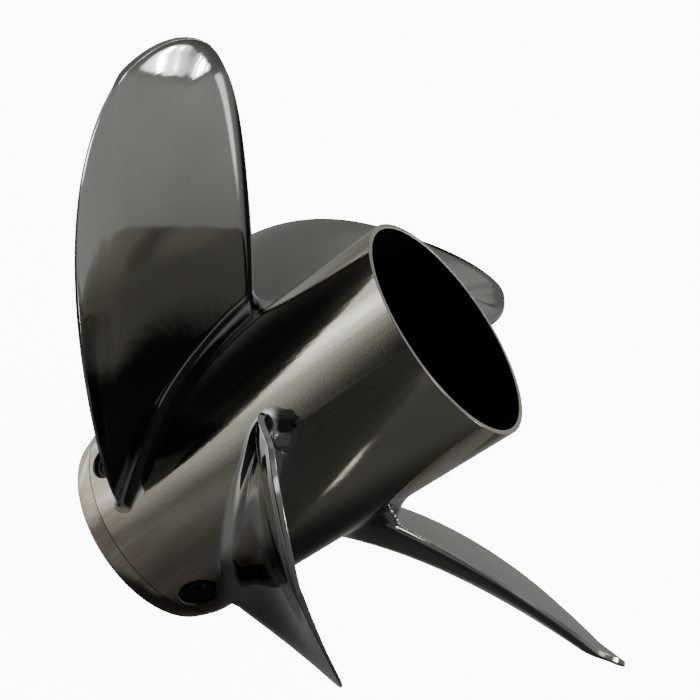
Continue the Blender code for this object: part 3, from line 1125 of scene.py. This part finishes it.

# %% [markdown]
# ## The parts inside the hub
# The inner hub, its four webs, the drive sleeve, the splined bush and the vent plugs are simple
# shapes that the solids already have right. They could be built again here, with nothing gained, so
# they carry over and only get their finishes.

# %% Finishes for the parts inside
# The inner hub and its webs get the as-cast skin that is painted dark for shade.
carried_over = {"inner_hub": shaded_cast_steel, "drive_sleeve": plastic, "spline_adapter": brass}
for number in range(1, 5):
    carried_over[f"rib_{number}"] = shaded_cast_steel
    carried_over[f"vent_plug_{number}"] = plastic
for name, look in carried_over.items():
    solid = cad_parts[name]
    solid.data.materials.clear()
    solid.data.materials.append(look)
print("finished", len(carried_over), "nodes")

# %% [markdown]
# ## The floor
# The floor is pale and plain. A real one would be mirrored in the steel, and the photograph's steel
# shows none, because its background was cut out to white. So the floor glows evenly by itself, and
# is left out of the reflections and of the light that falls on the steel.

# %% Floor
FLOOR_HALF = 6  # metres
FLOOR_GLOW = 11.0

made, tree = blank("pale_floor")
shader = add(
    tree,
    "ShaderNodeBsdfPrincipled",
    {
        "Base Color": linear("#F2F2F2"),
        "Roughness": 0.9,
        "Emission Color": linear("#FFFFFF"),
        "Emission Strength": FLOOR_GLOW,
    },
)
add(tree, "ShaderNodeOutputMaterial", {}, {"Surface": shader.outputs["BSDF"]})
mesh = bpy.data.meshes.new("studio_floor")
corners = [(FLOOR_HALF * x, FLOOR_HALF * y, 0) for x, y in ((-1, -1), (1, -1), (1, 1), (-1, 1))]
mesh.from_pydata(corners, [], [(0, 1, 2, 3)])
mesh.materials.append(made)
ground = in_scene("studio_floor", mesh)
ground.visible_glossy = False
ground.visible_diffuse = False
print("floor", 2 * FLOOR_HALF, "m square")

# %% [markdown]
# ## The studio round it
# A product photographer lights polished metal with large soft panels and leaves the rest of the room
# dark, because a mirror shows nothing but its surroundings. Lamps and curtains could be built, but
# each would have to be kept out of the camera's view. Here the room is a dim grey sphere, and each
# panel or curtain is one round soft patch of it: it lies in a direction, given as an azimuth and an
# elevation in degrees, has its full strength out to one angle from its middle, and has faded out at
# a second. Its strength multiplies the room's, so a number under 1 is a dark curtain and one over 1
# a lit panel. The camera itself sees a plain pale backdrop.
#
# The nine widest patches come from a least-squares fit to the tones on the photographed steel, and
# were then adjusted a little and rounded. The strip light and the three lamps in a row began there
# too, and were moved. The other six were placed one by one.

# %% The room's panels and curtains
ROOM_STRENGTH = 0.26
ROOM_PATCHES = (
    # azimuth, elevation, full out to, gone at, strength
    (45.0, 19.0, 38.0, 55.0, 0.065),  # the dark room behind the camera
    (139.0, -5.0, 42.0, 82.0, 0.4),  # a grey curtain on its left
    (-29.0, -35.0, 6.0, 41.0, 6.0),  # the main panel, low on the right and turned up
    (19.0, -16.0, 0.0, 31.0, 3.1),  # and its brighter inner end
    (-83.0, -42.0, 4.0, 23.0, 3.2),  # its outer end
    (-5.0, -21.0, 2.0, 8.5, 1.4),  # and the bright part that draws the band along the tube
    (-179.5, 39.5, 3.0, 6.3, 15.0),  # three small lamps in a row that the bent tips pick up
    (174.5, 43.5, 3.0, 5.6, 15.0),
    (166.5, 46.8, 2.0, 4.4, 10.0),
    (127.0, 68.0, 0.0, 8.0, 5.5),  # a strip light overhead, for the cupped edges
    (-154.5, 66.0, 2.5, 7.0, 26.0),  # a small lamp high up, for the leading edges' bevels
    (179.0, -56.0, 27.0, 44.0, 0.18),  # dark floor on the far side
    (127.0, -50.0, 2.0, 10.0, 2.6),  # a paler spot in it, for the foot of the nose
    (-129.0, -45.0, 5.0, 17.0, 0.62),  # a darker spot beside the floor, low on the far right
    (-137.0, 55.0, 30.0, 64.0, 1.7),  # pale ceiling
    (-34.0, 78.0, 0.0, 18.0, 0.55),  # a dim place in it, nearly overhead
    (-17.0, 45.0, 12.0, 39.0, 0.8),  # its edge, a little dimmer above the main panel
    (-61.0, 43.0, 4.0, 11.0, 0.65),  # a soft dark spot there
    (-43.0, 52.0, 3.0, 10.0, 1.5),  # and a lighter one beside it
)
BACKDROP_STRENGTH = 3.2
print("room patches", len(ROOM_PATCHES))

# %% The room
def studio_room():
    room = bpy.data.worlds.new("grey_studio_room")
    room.use_nodes = True
    tree = room.node_tree
    tree.nodes.clear()
    looking = add(tree, "ShaderNodeTexCoord").outputs["Generated"]
    strength = None
    for azimuth, elevation, full, gone, gain in ROOM_PATCHES:
        turn, lift = math.radians(azimuth), math.radians(elevation)
        middle = (math.cos(lift) * math.cos(turn), math.cos(lift) * math.sin(turn), math.sin(lift))
        nearness = add(
            tree, "ShaderNodeVectorMath", {"operation": "DOT_PRODUCT", 1: middle}, {0: looking}
        )
        patch = add(
            tree,
            "ShaderNodeMapRange",
            {
                "interpolation_type": "SMOOTHSTEP",
                "From Min": math.cos(math.radians(gone)),
                "From Max": math.cos(math.radians(full)),
                "To Min": 1.0,
                "To Max": gain,
            },
            {"Value": nearness.outputs["Value"]},
        ).outputs["Result"]
        if strength is None:
            strength = patch
        else:
            both = add(tree, "ShaderNodeMath", {"operation": "MULTIPLY"}, {0: strength, 1: patch})
            strength = both.outputs["Value"]
    scaled = add(
        tree, "ShaderNodeMath", {"operation": "MULTIPLY", 1: ROOM_STRENGTH}, {0: strength}
    )
    lit = add(
        tree,
        "ShaderNodeBackground",
        {"Color": linear("#FFFEFC")},
        {"Strength": scaled.outputs["Value"]},
    )
    backdrop = add(
        tree,
        "ShaderNodeBackground",
        {"Color": linear("#F4F4F4"), "Strength": BACKDROP_STRENGTH},
    )
    seen = add(tree, "ShaderNodeLightPath").outputs["Is Camera Ray"]
    shown = add(
        tree,
        "ShaderNodeMixShader",
        {},
        {0: seen, 1: lit.outputs["Background"], 2: backdrop.outputs["Background"]},
    )
    add(tree, "ShaderNodeOutputWorld", {}, {"Surface": shown.outputs["Shader"]})
    return room


bpy.context.scene.world = studio_room()
print("room nodes", len(bpy.context.scene.world.node_tree.nodes))
